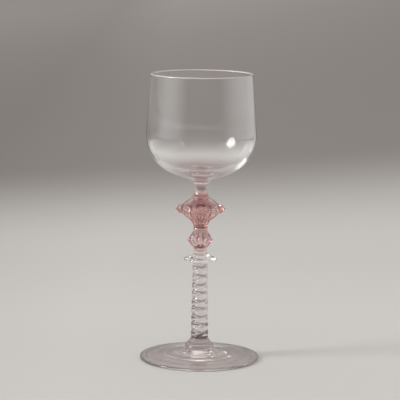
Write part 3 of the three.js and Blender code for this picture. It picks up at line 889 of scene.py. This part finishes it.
crease = (UPPER_KNOP_NECK_RADIUS - NECK_RING_CREASE, NECK_RING_LIP)
outline = [(0, 0), (bore, 0)]
outline += bend((UPPER_KNOP_NECK_RADIUS, 0),
                (UPPER_KNOP_NECK_RADIUS + NECK_RING_BULGE, NECK_RING_LIP / 2), crease, 10)
outline += bend(crease, (NECK_RING_TOP_RADIUS + NECK_RING_CREASE, NECK_RING_HEIGHT - NECK_RING_LIP),
                (NECK_RING_TOP_RADIUS, NECK_RING_HEIGHT), 12)[1:]
outline.append((0, NECK_RING_HEIGHT))
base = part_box("neck_ring")[0].z
glass_piece(turned(outline, base, steps=96), "neck_ring_glass", solid_rose_glass,
            [(base, bore, UPPER_KNOP_NECK_RADIUS),
             (base + NECK_RING_HEIGHT * MM, 0, NECK_RING_TOP_RADIUS)])

# Neck spool: a waisted bit of soda glass that carries the bowl. It was drawn thinner in the middle
# while it was soft.
SPOOL_HEIGHT = 6.9
SPOOL_WAIST_RADIUS = 3.7
SPOOL_WAIST_SHARES = (0.3, 0.6)
SPOOL_TOP_RADIUS = 5.3

low, high = (SPOOL_HEIGHT * share for share in SPOOL_WAIST_SHARES)
outline = [(0, 0)]
outline += curve((NECK_RING_TOP_RADIUS, 0), (SPOOL_WAIST_RADIUS, low),
                 (SPOOL_WAIST_RADIUS, high), (SPOOL_TOP_RADIUS, SPOOL_HEIGHT), 28)
outline.append((0, SPOOL_HEIGHT))
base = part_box("neck_spool")[0].z
glass_piece(turned(outline, base, steps=96), "neck_spool_glass", flushed_clear,
            [(base, 0, NECK_RING_TOP_RADIUS), (base + SPOOL_HEIGHT * MM, 0, SPOOL_TOP_RADIUS)])

# Bowl merese: a thin wafer of the same clear glass, which spreads from the spool to the floor of the
# bowl and is fused to both.
BOWL_MERESE_HEIGHT = 2.4
BOWL_MERESE_CORNER = (1, 0.6)
BOWL_SEAT_RADIUS = 8.6

spread, share = BOWL_MERESE_CORNER
outline = [(0, 0)]
outline += bend((SPOOL_TOP_RADIUS, 0), (SPOOL_TOP_RADIUS + spread, BOWL_MERESE_HEIGHT * share),
                (BOWL_SEAT_RADIUS, BOWL_MERESE_HEIGHT), 12)
outline.append((0, BOWL_MERESE_HEIGHT))
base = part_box("bowl_merese")[0].z
glass_piece(turned(outline, base, steps=96), "bowl_merese_glass", flushed_clear,
            [(base, 0, SPOOL_TOP_RADIUS), (base + BOWL_MERESE_HEIGHT * MM, 0, BOWL_SEAT_RADIUS)])

# Bowl: a thin bubble of the same glass, opened, drawn in slightly to its mouth and sheared. The rim
# is melted round in the fire. The handles pull its outline at the floor, below and above the belly,
# and at the mouth.
BOWL_HEIGHT = 65.1
BOWL_BELLY_RADIUS = 34.4
BOWL_BELLY_HEIGHT = 28.4
BOWL_FLOOR_HANDLE = (17.4, 3.8)
BOWL_BELOW_BELLY = 15.4
BOWL_ABOVE_BELLY = 10
BOWL_MOUTH_HANDLE = (1.05, 14)
BOWL_RIM_RADIUS = 31.95
BOWL_FLOOR = 4.6
BOWL_RIM = 1.2
BOWL_RIM_STEPS = 12
BOWL_RIM_SHARE = 0.7
BOWL_THINNING = 6
RIM_TRANSMISSION = 0.35

# Soda glass blown thin: all but invisible, with a rose grey that deepens towards the thick floor.
thin_clear = blown_glass(
    "thin_blown_soda_glass", "#ffffff", "#fefdfd", drift=40, wave=20, wave_depth=0.008,
    thick=("#b0969a", 115, 126),
)
# The rim, melted round in the fire: so thin a rod of glass bends away what lies behind it, and a
# painted highlight stands in for what it shows: a pale milky colour, with less light let through
# than the wall, so that it shows as a fine milky line.
rim_highlight_glass = blown_glass(
    "rim_with_painted_highlight", "#e6dcdb", "#e6dcdb", drift=10, wave=5, wave_depth=0.01,
)
rim_shader = rim_highlight_glass.node_tree.nodes["Principled BSDF"]
rim_shader.inputs["Transmission Weight"].default_value = RIM_TRANSMISSION

spread, lift = BOWL_FLOOR_HANDLE
half = BOWL_RIM / 2
side = curve((BOWL_SEAT_RADIUS, 0), (BOWL_SEAT_RADIUS + spread, lift),
             (BOWL_BELLY_RADIUS, BOWL_BELLY_HEIGHT - BOWL_BELOW_BELLY),
             (BOWL_BELLY_RADIUS, BOWL_BELLY_HEIGHT), 48)
spread, drop = BOWL_MOUTH_HANDLE
side += curve((BOWL_BELLY_RADIUS, BOWL_BELLY_HEIGHT),
              (BOWL_BELLY_RADIUS, BOWL_BELLY_HEIGHT + BOWL_ABOVE_BELLY),
              (BOWL_RIM_RADIUS + spread, BOWL_HEIGHT - drop),
              (BOWL_RIM_RADIUS, BOWL_HEIGHT - half), 48)[1:]
inside = moved_out(side, -BOWL_FLOOR, -BOWL_RIM, BOWL_THINNING)
rim = []
for i in range(1, BOWL_RIM_STEPS):
    turn = i / BOWL_RIM_STEPS * math.pi
    rim.append((BOWL_RIM_RADIUS - half + half * math.cos(turn),
                BOWL_HEIGHT - half + half * math.sin(turn)))
outline = [(0, 0)] + side + rim + inside[::-1] + [(0, BOWL_FLOOR)]
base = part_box("bowl")[0].z
bm = turned(outline, base, steps=192)
# The top of the rim takes the painted highlight.
for face in bm.faces:
    if face.calc_center_median().z > base + (BOWL_HEIGHT - BOWL_RIM * BOWL_RIM_SHARE) * MM:
        face.material_index = EDGE_SLOT
bowl = glass_piece(bm, "bowl_glass", thin_clear, [(base, 0, BOWL_SEAT_RADIUS)])
bowl.data.materials.append(rim_highlight_glass)
